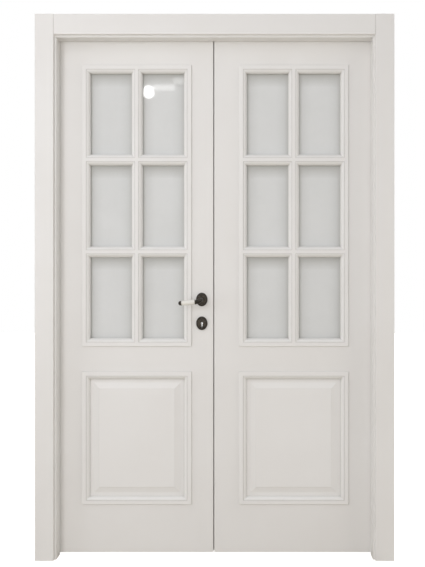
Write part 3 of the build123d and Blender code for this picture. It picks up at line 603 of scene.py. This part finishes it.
def buildScrewRow():
    tree, take, give = startGroup("Screw row", "GeometryNodeTree", [
        ("Start", "NodeSocketVector", None), ("Step", "NodeSocketVector", None),
        ("Aside", "NodeSocketVector", None), ("Facing", "NodeSocketVector", None),
        ("Count", "NodeSocketInt", 2), ("Seed", "NodeSocketInt", 1),
        ("Head Radius", "NodeSocketFloat", 0.003), ("Proud", "NodeSocketFloat", 0.0005),
        ("Slot Width", "NodeSocketFloat", 0.0009), ("Cross", "NodeSocketFloat", 1.0),
        ("Finish", "NodeSocketMaterial", None)], [("Geometry", "NodeSocketGeometry")])
    link = tree.links.new
    line = addNode(tree, "GeometryNodeMeshLine", (-700, 300), mode="OFFSET")
    index = addNode(tree, "GeometryNodeInputIndex", (-900, 500))
    odd = addNode(tree, "ShaderNodeMath", (-700, 500), operation="MODULO")
    odd.inputs[1].default_value = 2
    shift = addNode(tree, "GeometryNodeSetPosition", (-450, 300))
    head = addNode(tree, "GeometryNodeMeshCone", (-500, -100))
    setInputs(head, Vertices=screwShape["sides"])
    narrow = addNode(tree, "ShaderNodeMath", (-700, -100), operation="MULTIPLY")
    narrow.inputs[1].default_value = screwShape["taper"]
    depth = addNode(tree, "ShaderNodeMath", (-700, -250), operation="MULTIPLY")
    depth.inputs[1].default_value = 2.0
    sink = addNode(tree, "GeometryNodeTransform", (-300, -100))
    down = addNode(tree, "ShaderNodeCombineXYZ", (-500, -350))
    lower = addNode(tree, "ShaderNodeMath", (-700, -400), operation="MULTIPLY")
    lower.inputs[1].default_value = -1.0
    long = addNode(tree, "ShaderNodeMath", (-700, -550), operation="MULTIPLY")
    long.inputs[1].default_value = screwShape["bladeLength"]
    crossed = addNode(tree, "ShaderNodeMix", (-500, -600), data_type="FLOAT")
    bladeSize = addNode(tree, "ShaderNodeCombineXYZ", (-300, -450))
    otherSize = addNode(tree, "ShaderNodeCombineXYZ", (-300, -650))
    blade = addNode(tree, "GeometryNodeMeshCube", (-100, -450))
    other = addNode(tree, "GeometryNodeMeshCube", (-100, -650))
    up = addNode(tree, "ShaderNodeCombineXYZ", (-100, -850))
    raiseBlade = addNode(tree, "GeometryNodeTransform", (80, -450))
    raiseOther = addNode(tree, "GeometryNodeTransform", (80, -650))
    cut = addNode(tree, "GeometryNodeMeshBoolean", (250, -200), operation="DIFFERENCE")
    turn = addNode(tree, "FunctionNodeAlignRotationToVector", (-300, 150), axis="Z")
    chance = addNode(tree, "FunctionNodeRandomValue", (-300, 700), data_type="FLOAT")
    chance.inputs[3].default_value = math.pi
    spin = addNode(tree, "FunctionNodeAxisAngleToRotation", (-100, 600))
    settle = addNode(tree, "FunctionNodeRotateRotation", (80, 300), rotation_space="LOCAL")
    lay = addNode(tree, "GeometryNodeInstanceOnPoints", (400, 200))
    real = addNode(tree, "GeometryNodeRealizeInstances", (520, 100))
    paint = addNode(tree, "GeometryNodeSetMaterial", (620, 0))
    for label, socket in (("Count", "Count"), ("Start", "Start Location"), ("Step", "Offset")):
        link(take[label], line.inputs[socket])
    link(index.outputs[0], odd.inputs[0])
    link(line.outputs["Mesh"], shift.inputs["Geometry"])
    link(odd.outputs[0], shift.inputs["Selection"])
    link(take["Aside"], shift.inputs["Offset"])
    link(take["Head Radius"], narrow.inputs[0])
    link(take["Head Radius"], head.inputs["Radius Bottom"])
    link(narrow.outputs[0], head.inputs["Radius Top"])
    link(take["Proud"], depth.inputs[0])
    link(depth.outputs[0], head.inputs["Depth"])
    link(take["Proud"], lower.inputs[0])
    link(lower.outputs[0], down.inputs["Z"])
    link(head.outputs["Mesh"], sink.inputs["Geometry"])
    link(down.outputs[0], sink.inputs["Translation"])
    link(take["Head Radius"], long.inputs[0])
    link(take["Cross"], crossed.inputs["Factor"])
    link(take["Slot Width"], crossed.inputs["A"])
    link(long.outputs[0], crossed.inputs["B"])
    link(long.outputs[0], bladeSize.inputs["X"])
    link(take["Slot Width"], bladeSize.inputs["Y"])
    link(depth.outputs[0], bladeSize.inputs["Z"])
    link(take["Slot Width"], otherSize.inputs["X"])
    link(crossed.outputs["Result"], otherSize.inputs["Y"])
    link(depth.outputs[0], otherSize.inputs["Z"])
    link(bladeSize.outputs[0], blade.inputs["Size"])
    link(otherSize.outputs[0], other.inputs["Size"])
    link(take["Proud"], up.inputs["Z"])
    for cube, mover in ((blade, raiseBlade), (other, raiseOther)):
        link(cube.outputs["Mesh"], mover.inputs["Geometry"])
        link(up.outputs[0], mover.inputs["Translation"])
        link(mover.outputs["Geometry"], cut.inputs["Mesh 2"])
    link(sink.outputs["Geometry"], cut.inputs["Mesh 1"])
    link(take["Facing"], turn.inputs["Vector"])
    link(take["Seed"], chance.inputs["Seed"])
    link(chance.outputs[1], spin.inputs["Angle"])
    link(turn.outputs["Rotation"], settle.inputs["Rotation"])
    link(spin.outputs["Rotation"], settle.inputs["Rotate By"])
    link(shift.outputs["Geometry"], lay.inputs["Points"])
    link(cut.outputs["Mesh"], lay.inputs["Instance"])
    link(settle.outputs["Rotation"], lay.inputs["Rotation"])
    link(lay.outputs["Instances"], real.inputs["Geometry"])
    link(real.outputs["Geometry"], paint.inputs["Geometry"])
    link(take["Finish"], paint.inputs["Material"])
    link(paint.outputs["Geometry"], give["Geometry"])
    return tree


def growMesh(tree, settings):
    # runs a geometry tree once and keeps the plain mesh that it makes
    host = bpy.data.objects.new("grower", bpy.data.meshes.new("grower"))
    scene.collection.objects.link(host)
    modifier = host.modifiers.new("grow", "NODES")
    modifier.node_group = tree
    keys = {item.name: item.identifier for item in tree.interface.items_tree
            if item.item_type == "SOCKET" and item.in_out == "INPUT"}
    for label, value in settings.items():
        modifier[keys[label]] = value
    bpy.context.view_layer.update()
    ready = host.evaluated_get(bpy.context.evaluated_depsgraph_get())
    mesh = bpy.data.meshes.new_from_object(ready)
    bpy.data.objects.remove(host)
    return mesh


def joinPiece(name, meshes, body, slotName):
    joined = bmesh.new()
    for mesh in meshes:
        joined.from_mesh(mesh)
    data = bpy.data.meshes.new(name)
    joined.to_mesh(data)
    joined.free()
    data.materials.append(finishes[slotName])
    piece = bpy.data.objects.new(name, data)
    scene.collection.objects.link(piece)
    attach(piece, body)
    return piece


screwSizes = {
    "hinge": {"Head Radius": 0.0036, "Proud": 0.0004, "Slot Width": 0.0011, "Cross": 1.0},
    "plate": {"Head Radius": 0.0031, "Proud": 0.0004, "Slot Width": 0.0010, "Cross": 1.0},
    "rose": {"Head Radius": 0.0023, "Proud": 0.0005, "Slot Width": 0.0007, "Cross": 0.0},
    "grub": {"Head Radius": 0.0017, "Proud": 0.0003, "Slot Width": 0.0006, "Cross": 0.0},
}
hingeLayout = {
    "plateHalf": 0.05,     # half a hinge's height
    "lowest": -0.038,      # first screw below the hinge's middle
    "pitch": 0.0253,
    "edgeInset": 0.0085,   # front edge of the plate to the front screws
    "aside": 0.0105,
    "plateGap": 0.003,     # leaf plate's face to jamb plate's face
}
plateInsets = {"lock_faceplate": 0.010, "strike_plate": 0.010, "flush_bolt_plates": 0.012,
               "head_keep": 0.008}
boltPlateTall = 0.19
roseReach = {"roses": 0.0185, "keyhole_plates": 0.0198}   # middle of the plate to each screw
grubPlace = {"out": 0.040, "below": 0.008}                # from the spindle's middle
screwSeeds = {"hinge": 11, "faceplate": 3, "strike": 4, "bottomBolt": 5, "topBolt": 6, "keep": 7,
              "rose": 20, "grub": 30}
screwTree = buildScrewRow()


def screwRow(kind, slotName, start, step, facing, count=2, aside=(0, 0, 0), seed=1):
    settings = dict(screwSizes[kind])
    settings.update({"Start": tuple(start), "Step": tuple(step), "Aside": tuple(aside),
                     "Facing": facing, "Count": count, "Seed": seed,
                     "Finish": finishes[slotName]})
    return growMesh(screwTree, settings)


def hingeScrews(node, onOuterFace, signs):
    # four staggered screws in each plate; a plate shows the face that looks at the other plate
    low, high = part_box(node)
    half = hingeLayout["plateHalf"]
    rows = []
    for sign in signs:
        face = onOuterFace if sign > 0 else -onOuterFace
        toward = 1.0 if node != "hinge_jamb_plates" else -1.0
        for count, middle in enumerate((low.z + half, (low.z + high.z) / 2, high.z - half)):
            start = (face, low.y + hingeLayout["edgeInset"], middle + hingeLayout["lowest"])
            rows.append(screwRow("hinge", "hinge_steel", start, (0, 0, hingeLayout["pitch"]),
                                 (toward * sign, 0, 0), 4, (0, hingeLayout["aside"], 0),
                                 screwSeeds["hinge"] + count))
    return rows


def plateScrews(node, facing, low, high, seed):
    # two screws, one near each end of an upright plate in a leaf's edge
    inset = plateInsets[node]
    xFace = high.x if facing > 0 else low.x
    start = (xFace, (low.y + high.y) / 2, low.z + inset)
    return screwRow("plate", "lock_steel", start, (0, 0, high.z - low.z - 2 * inset),
                    (facing, 0, 0), seed=seed)


def addScrews():
    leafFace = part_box("right_hinge_stile")[1].x
    jambFace = leafFace + hingeLayout["plateGap"]
    joinPiece("left_hinge_screws", hingeScrews("left_hinge_plates", leafFace, (-1,)),
              "left_leaf", "hinge_steel")
    joinPiece("right_hinge_screws", hingeScrews("right_hinge_plates", leafFace, (1,)),
              "right_leaf", "hinge_steel")
    joinPiece("jamb_hinge_screws", hingeScrews("hinge_jamb_plates", jambFace, (-1, 1)),
              "frame", "hinge_steel")
    low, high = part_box("lock_faceplate")
    row = plateScrews("lock_faceplate", 1, low, high, screwSeeds["faceplate"])
    joinPiece("faceplate_screws", [row], "left_leaf", "lock_steel")
    low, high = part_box("strike_plate")
    rows = [plateScrews("strike_plate", -1, low, high, screwSeeds["strike"])]
    low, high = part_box("flush_bolt_plates")
    for bottom, key in ((low.z, "bottomBolt"), (high.z - boltPlateTall, "topBolt")):
        plateLow = Vector((low.x, low.y, bottom))
        plateHigh = Vector((high.x, high.y, bottom + boltPlateTall))
        rows.append(plateScrews("flush_bolt_plates", -1, plateLow, plateHigh, screwSeeds[key]))
    joinPiece("strike_and_bolt_screws", rows, "right_leaf", "lock_steel")
    low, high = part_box("head_keep")
    inset = plateInsets["head_keep"]
    start = (low.x + inset, (low.y + high.y) / 2, low.z)
    row = screwRow("plate", "lock_steel", start, (high.x - low.x - 2 * inset, 0, 0), (0, 0, -1),
                   seed=screwSeeds["keep"])
    joinPiece("keep_screws", [row], "frame", "lock_steel")
    rows = []
    for node, reach in roseReach.items():
        low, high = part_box(node)
        middle = (low + high) / 2
        for side, y in ((-1, low.y), (1, high.y)):
            start = (middle.x, y, middle.z - reach)
            rows.append(screwRow("rose", "dark_metal", start, (0, 0, 2 * reach), (0, side, 0),
                                 seed=screwSeeds["rose"] + side))
    joinPiece("rose_screws", rows, "left_leaf", "dark_metal")
    low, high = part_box("spindle")
    middle = (low + high) / 2
    rows = [screwRow("grub", "dark_metal",
                     (middle.x, side * grubPlace["out"], middle.z - grubPlace["below"]), (0, 0, 0),
                     (0, 0, -1), count=1, seed=screwSeeds["grub"]) for side in (-1, 1)]
    joinPiece("lever_grub_screws", rows, "lever", "dark_metal")


addScrews()
print("screws laid")


# seal: a bulb that follows the stop up, across and down, bent round at the corners

sealRun = {"bulbWide": 0.007, "bulbRise": 0.0017, "cornerRadius": 0.006, "cornerSteps": 6,
           "bulbSides": 20}


def buildSealRun(spec):
    tree, take, give = startGroup("Seal run", "GeometryNodeTree", [
        ("Half Width", "NodeSocketFloat", 0.6), ("Height", "NodeSocketFloat", 2.0),
        ("Depth", "NodeSocketFloat", 0.0), ("Bulb Width", "NodeSocketFloat", 0.007),
        ("Bulb Rise", "NodeSocketFloat", 0.0017), ("Corner Radius", "NodeSocketFloat", 0.006),
        ("Finish", "NodeSocketMaterial", None)], [("Geometry", "NodeSocketGeometry")])
    link = tree.links.new
    # drawn lying flat, so that the profile keeps its way up, and then stood upright
    points = addNode(tree, "GeometryNodeMeshLine", (-700, 300), mode="OFFSET")
    setInputs(points, Count=4)
    index = addNode(tree, "GeometryNodeInputIndex", (-900, 600))
    right = addNode(tree, "ShaderNodeMath", (-700, 700), operation="GREATER_THAN")
    right.inputs[1].default_value = 1.5
    away = addNode(tree, "ShaderNodeMath", (-700, 550), operation="SUBTRACT")
    away.inputs[1].default_value = 1.5
    apart = addNode(tree, "ShaderNodeMath", (-550, 550), operation="ABSOLUTE")
    inner = addNode(tree, "ShaderNodeMath", (-400, 550), operation="LESS_THAN")
    inner.inputs[1].default_value = 1.0
    side = addNode(tree, "ShaderNodeMapRange", (-400, 750))
    setInputs(side, To_Min=-1.0, To_Max=1.0)
    across = addNode(tree, "ShaderNodeMath", (-200, 700), operation="MULTIPLY")
    tall = addNode(tree, "ShaderNodeMath", (-200, 550), operation="MULTIPLY")
    where = addNode(tree, "ShaderNodeCombineXYZ", (-50, 600))
    put = addNode(tree, "GeometryNodeSetPosition", (-450, 300))
    path = addNode(tree, "GeometryNodeMeshToCurve", (-280, 300))
    bend = addNode(tree, "GeometryNodeFilletCurve", (-120, 300), mode="POLY")
    setInputs(bend, Count=spec["cornerSteps"])
    level = addNode(tree, "GeometryNodeSetCurveNormal", (40, 300), mode="Z_UP")
    ring = addNode(tree, "GeometryNodeCurvePrimitiveCircle", (-300, -100))
    setInputs(ring, Resolution=spec["bulbSides"], Radius=1.0)
    half = addNode(tree, "ShaderNodeMath", (-500, -200), operation="MULTIPLY")
    half.inputs[1].default_value = 0.5
    size = addNode(tree, "ShaderNodeCombineXYZ", (-300, -300))
    size.inputs["Z"].default_value = 1.0
    squash = addNode(tree, "GeometryNodeTransform", (-100, -100))
    sweep = addNode(tree, "GeometryNodeCurveToMesh", (200, 200))
    setInputs(sweep, Fill_Caps=True)
    stand = addNode(tree, "GeometryNodeTransform", (380, 200))
    setInputs(stand, Rotation=(math.pi / 2, 0, 0))
    back = addNode(tree, "ShaderNodeCombineXYZ", (200, -100))
    smooth = addNode(tree, "GeometryNodeSetShadeSmooth", (480, 100))
    real = addNode(tree, "GeometryNodeRealizeInstances", (560, 50))
    paint = addNode(tree, "GeometryNodeSetMaterial", (640, 0))
    link(index.outputs[0], right.inputs[0])
    link(right.outputs[0], side.inputs["Value"])
    link(side.outputs["Result"], across.inputs[0])
    link(take["Half Width"], across.inputs[1])
    link(index.outputs[0], away.inputs[0])
    link(away.outputs[0], apart.inputs[0])
    link(apart.outputs[0], inner.inputs[0])
    link(inner.outputs[0], tall.inputs[0])
    link(take["Height"], tall.inputs[1])
    link(across.outputs[0], where.inputs["X"])
    link(tall.outputs[0], where.inputs["Y"])
    link(points.outputs["Mesh"], put.inputs["Geometry"])
    link(where.outputs[0], put.inputs["Position"])
    link(put.outputs["Geometry"], path.inputs["Mesh"])
    link(path.outputs["Curve"], bend.inputs["Curve"])
    link(take["Corner Radius"], bend.inputs["Radius"])
    link(bend.outputs["Curve"], level.inputs["Curve"])
    link(take["Bulb Width"], half.inputs[0])
    link(half.outputs[0], size.inputs["X"])
    link(take["Bulb Rise"], size.inputs["Y"])
    link(ring.outputs["Curve"], squash.inputs["Geometry"])
    link(size.outputs[0], squash.inputs["Scale"])
    link(level.outputs["Curve"], sweep.inputs["Curve"])
    link(squash.outputs["Geometry"], sweep.inputs["Profile Curve"])
    link(sweep.outputs["Mesh"], stand.inputs["Geometry"])
    link(take["Depth"], back.inputs["Y"])
    link(back.outputs[0], stand.inputs["Translation"])
    link(stand.outputs["Geometry"], smooth.inputs["Geometry"])
    link(smooth.outputs["Geometry"], real.inputs["Geometry"])
    link(real.outputs["Geometry"], paint.inputs["Geometry"])
    link(take["Finish"], paint.inputs["Material"])
    link(paint.outputs["Geometry"], give["Geometry"])
    return tree


def addSeal(spec):
    low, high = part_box("frame_seal")
    half = spec["bulbWide"] / 2
    mesh = growMesh(buildSealRun(spec), {
        "Half Width": high.x - half, "Height": high.z - half, "Depth": high.y - spec["bulbRise"],
        "Bulb Width": spec["bulbWide"], "Bulb Rise": spec["bulbRise"],
        "Corner Radius": spec["cornerRadius"], "Finish": finishes["seal"]})
    seal = joinPiece("bulb_seal", [mesh], "frame", "seal")
    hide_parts("frame_seal")


addSeal(sealRun)
print("seal run round the stop")


# studio: pale floor, white surroundings and a soft, nearly even light from the front

studio = {
    "fillSky": (0.995, 0.985, 1.0, 1),
    "fillStrength": 0.5,
    "floorTone": (0.62, 0.565, 0.48, 1),
    "floorOtherTone": (0.58, 0.53, 0.45, 1),
    "floorPatches": 1.5,
    "floorSpread": 0.3,
    "floorRoughness": 0.85,
    "floorSize": 9.0,
    "floorLift": 1.0,      # the picture's ground is plain white
}
lamps = {
    "front": {"place": (-1.1, -4.1, 1.4), "aim": (0.0, 0.0, 1.1), "size": 2.4, "power": 42.0,
              "tone": (1.0, 0.975, 0.965)},
    "key": {"place": (-1.6, -2.6, 2.05), "aim": (0.0, 0.0, 1.1), "size": 1.0, "power": 8.0,
            "tone": (0.85, 0.92, 1.0)},
    "overhead": {"place": (-1.2, -2.0, 3.4), "aim": (-0.2, 0.0, 1.3), "size": 0.9, "power": 7.5,
                 "tone": (1.0, 0.95, 0.96)},
    "left": {"place": (-3.3, -1.3, 1.4), "aim": (0.0, 0.0, 1.1), "size": 1.6, "power": 16.5,
             "tone": (0.96, 0.98, 1.0)},
    "right": {"place": (3.2, -1.3, 0.7), "aim": (0.0, 0.0, 0.9), "size": 1.5, "power": 15.5,
              "tone": (1.0, 0.965, 0.9)},
    "behind": {"place": (1.6, 3.4, 2.6), "aim": (0.0, 0.0, 1.1), "size": 1.6, "power": 62.0,
               "tone": (1.0, 1.0, 1.0)},
}
# lamps of the room that the polished glass mirrors, placed by where they show in the picture
mirrored = {
    "glassFace": -0.002,
    "depth": -2.4,
    "spot": {"pixel": (148.5, 92.0), "size": (11.0, 12.5), "radiance": 26.0},
    "cove": {"pixel": (164.0, 87.3), "size": (22.0, 6.0), "radiance": 4.4},
    "patch": {"pixel": (178.5, 80.5), "size": (10.0, 6.0), "radiance": 4.0},
}


def addStage(spec):
    size = spec["floorSize"]
    data = bpy.data.meshes.new("floor")
    data.from_pydata([(-size, -size, 0), (size, -size, 0), (size, size, 0), (-size, size, 0)], [],
                     [(0, 1, 2, 3)])
    floor = bpy.data.objects.new("floor", data)
    scene.collection.objects.link(floor)
    material, tree, surface = startMaterial("paleFloor")
    link = tree.links.new
    tone = useGroup(tree, "tone", (-500, 200), Main_Tone=spec["floorTone"],
                    Other_Tone=spec["floorOtherTone"], Patches_per_Metre=spec["floorPatches"],
                    Spread=spec["floorSpread"])
    link(tone.outputs["Colour"], surface.inputs["Base Color"])
    setInputs(surface, Roughness=spec["floorRoughness"], Emission_Color=(1, 1, 1, 1))
    path = addNode(tree, "ShaderNodeLightPath", (-300, -300))
    lift = addNode(tree, "ShaderNodeMath", (0, -300), operation="MULTIPLY")
    lift.inputs[1].default_value = spec["floorLift"]
    link(path.outputs["Is Camera Ray"], lift.inputs[0])
    link(lift.outputs[0], surface.inputs["Emission Strength"])
    data.materials.append(material)


def addWorld(spec):
    world = bpy.data.worlds.new("surroundings")
    scene.world = world
    world.use_nodes = True
    tree = world.node_tree
    tree.nodes.clear()
    path = addNode(tree, "ShaderNodeLightPath", (-700, 0))
    either = addNode(tree, "ShaderNodeMath", (-450, 100), operation="MAXIMUM")
    seen = addNode(tree, "ShaderNodeMath", (-250, 100), operation="MAXIMUM")
    soft = addNode(tree, "ShaderNodeBackground", (-200, -100))
    white = addNode(tree, "ShaderNodeBackground", (-200, -250))
    mix = addNode(tree, "ShaderNodeMixShader", (100, 0))
    output = addNode(tree, "ShaderNodeOutputWorld", (300, 0))
    setInputs(soft, Color=spec["fillSky"], Strength=spec["fillStrength"])
    setInputs(white, Color=(1, 1, 1, 1), Strength=1.0)
    link = tree.links.new
    link(path.outputs["Is Camera Ray"], either.inputs[0])
    link(path.outputs["Is Glossy Ray"], either.inputs[1])
    link(either.outputs[0], seen.inputs[0])
    link(path.outputs["Is Transmission Ray"], seen.inputs[1])
    link(seen.outputs[0], mix.inputs[0])
    link(soft.outputs[0], mix.inputs[1])
    link(white.outputs[0], mix.inputs[2])
    link(mix.outputs[0], output.inputs["Surface"])


def addLamp(name, place, aim, size, power, tone, shape="SQUARE", mirrors=False):
    light = bpy.data.lights.new(name, "AREA")
    light.shape = shape
    light.size = size[0]
    light.size_y = size[1]
    light.energy = power
    light.color = tone
    lamp = bpy.data.objects.new(name, light)
    lamp.location = place
    lamp.rotation_euler = (Vector(aim) - Vector(place)).to_track_quat("-Z", "Y").to_euler()
    lamp.visible_camera = False
    lamp.visible_glossy = mirrors
    scene.collection.objects.link(lamp)


def addMirroredLamp(name, key, shape):
    # follows the eye's line to the glass and back into the room
    spec = mirrored[key]
    eye = Vector(viewpoint["place"])
    wide, tall = viewpoint["picture"]
    focal = viewpoint["lens"] / viewpoint["sensor"] * tall
    middle = (wide / 2 - viewpoint["shift"][0] * tall, tall / 2 + viewpoint["shift"][1] * tall)
    across = (spec["pixel"][0] - middle[0]) / focal
    upward = (middle[1] - spec["pixel"][1]) / focal
    reach = 2 * mirrored["glassFace"] - mirrored["depth"] - eye.y
    place = (eye.x + across * reach, mirrored["depth"], eye.z + upward * reach)
    size = [pixels * reach / focal for pixels in spec["size"]]
    area = size[0] * size[1] * (math.pi / 4 if shape == "ELLIPSE" else 1)
    addLamp(name, place, (place[0], 0.0, place[2]), size, spec["radiance"] * math.pi * area,
            (1, 1, 1), shape, True)


addCamera(viewpoint)
addStage(studio)
addWorld(studio)
for lampName, lamp in lamps.items():
    addLamp(lampName, lamp["place"], lamp["aim"], (lamp["size"], lamp["size"]), lamp["power"],
            lamp["tone"])
addMirroredLamp("spotLamp", "spot", "ELLIPSE")
addMirroredLamp("coveLight", "cove", "RECTANGLE")
addMirroredLamp("patchLight", "patch", "RECTANGLE")
scene.view_settings.view_transform = "Standard"
print("studio and camera ready")
